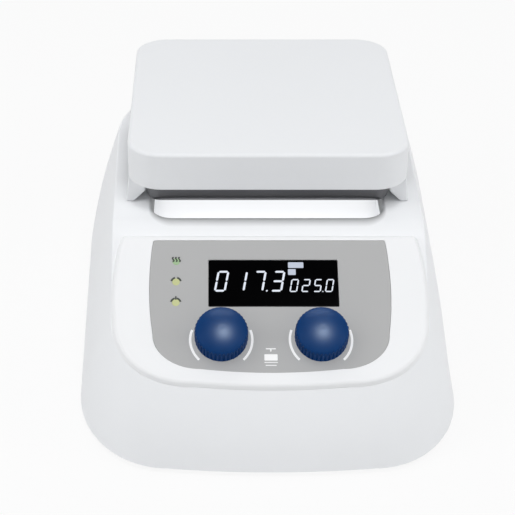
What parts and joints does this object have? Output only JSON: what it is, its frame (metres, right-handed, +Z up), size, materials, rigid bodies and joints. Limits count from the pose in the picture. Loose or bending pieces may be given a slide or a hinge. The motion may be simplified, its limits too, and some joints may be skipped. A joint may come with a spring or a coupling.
{
  "type": "magnetic stirrer hotplate",
  "caption": "Benchtop magnetic stirrer with a square heating plate on supports over a skirted housing with a sloping console, display, turn-and-press knobs and a spinning magnet drive.",
  "frame": {"origin": "on the table, under the middle of the bounding box", "axes": "+Z up, the console at the front faces -Y, +X is the user's right"},
  "size_m": [0.213, 0.27, 0.128],
  "materials": {
    "housing": "moulded white plastic, satin",
    "supports": "moulded white plastic, satin",
    "plate": "white enamelled aluminium, smooth",
    "bezel": "white plastic, half gloss",
    "panel": "grey printed polyester sheet, matt",
    "window": "black acrylic, gloss",
    "black_plastic": "black plastic",
    "knob": "dark blue plastic, half gloss",
    "lamp_green": "clear tinted light pipe",
    "lamp_amber": "clear tinted light pipe",
    "board": "circuit board with green lacquer",
    "dark_steel": "dark oxidised steel sheet",
    "steel": "zinc-plated steel",
    "alloy": "plain aluminium",
    "brass": "plain brass",
    "transformer": "lacquered windings in a plastic bobbin",
    "heater": "ceramic-coated heating tube",
    "fibre": "white ceramic fibre",
    "magnet": "nickel-plated magnet",
    "rubber": "black rubber, matt"
  },
  "bodies": {
    "housing": {"base_plate": "alloy", "base_screw_front_left": "steel", "base_screw_front_right": "steel", "base_screw_rear_left": "steel", "base_screw_rear_right": "steel", "console_bezel": "bezel", "control_board": "board", "display_module": "black_plastic", "display_window": "window", "foot_front_left": "rubber", "foot_front_right": "rubber", "foot_rear_left": "rubber", "foot_rear_right": "rubber", "heat_lamp": "lamp_green", "heat_shield_tray": "dark_steel", "heat_sink": "alloy", "heater_clamp": "steel", "heater_ring": "heater", "insulation_pad": "fibre", "left_encoder_body": "black_plastic", "left_encoder_nut": "steel", "lower_bearing": "steel", "main_board": "board", "mains_inlet": "black_plastic", "motor_body": "black_plastic", "motor_mount_plate": "steel", "motor_screw_front_left": "steel", "motor_screw_front_right": "steel", "motor_screw_rear_left": "steel", "motor_screw_rear_right": "steel", "panel_overlay": "panel", "plate_bolt_front_left": "steel", "plate_bolt_front_right": "steel", "plate_bolt_rear_left": "steel", "plate_bolt_rear_right": "steel", "plate_support_front_left": "supports", "plate_support_front_right": "supports", "plate_support_rear_left": "supports", "plate_support_rear_right": "supports", "power_lamp": "lamp_amber", "right_encoder_body": "black_plastic", "right_encoder_nut": "steel", "stir_lamp": "lamp_amber", "temperature_probe": "brass", "top_plate": "plate", "transformer": "transformer", "upper_bearing": "steel", "upper_housing": "housing"},
    "left_rotor": {"left_encoder_rotor": "brass"},
    "right_rotor": {"right_encoder_rotor": "brass"},
    "left_control": {"left_knob": "knob", "left_encoder_shaft": "steel"},
    "right_control": {"right_knob": "knob", "right_encoder_shaft": "steel"},
    "stir_rotor": {"motor_shaft": "steel", "magnet_holder": "alloy", "drive_magnet_left": "magnet", "drive_magnet_right": "magnet"},
    "drawer": {"fuse_drawer": "black_plastic"},
    "rocker": {"switch_rocker": "black_plastic"}
  },
  "joints": [
    {"name": "stir_spin", "type": "hinge", "parent": "housing", "child": "stir_rotor", "pos_m": [0, 0.046, 0.1], "axis": [0, 0, 1], "continuous": true},
    {"name": "left_knob_turn", "type": "hinge", "parent": "housing", "child": "left_rotor", "pos_m": [-0.0253, -0.0961, 0.0563], "axis": [0, -0.5, 0.866], "continuous": true},
    {"name": "left_knob_press", "type": "slide", "parent": "left_rotor", "child": "left_control", "axis": [0, 0.5, -0.866], "range_m": [0, 0.001], "stiffness_N_per_m": 800},
    {"name": "right_knob_turn", "type": "hinge", "parent": "housing", "child": "right_rotor", "pos_m": [0.0253, -0.0961, 0.0563], "axis": [0, -0.5, 0.866], "continuous": true},
    {"name": "right_knob_press", "type": "slide", "parent": "right_rotor", "child": "right_control", "axis": [0, 0.5, -0.866], "range_m": [0, 0.001], "stiffness_N_per_m": 800},
    {"name": "fuse_drawer_slide", "type": "slide", "parent": "housing", "child": "drawer", "axis": [0, 0.9877, 0.1562], "range_m": [0, 0.012]},
    {"name": "power_rocker", "type": "hinge", "parent": "housing", "child": "rocker", "pos_m": [0, 0.12596, 0.06542], "axis": [-1, 0, 0], "range_deg": [0, 20]}
  ]
}
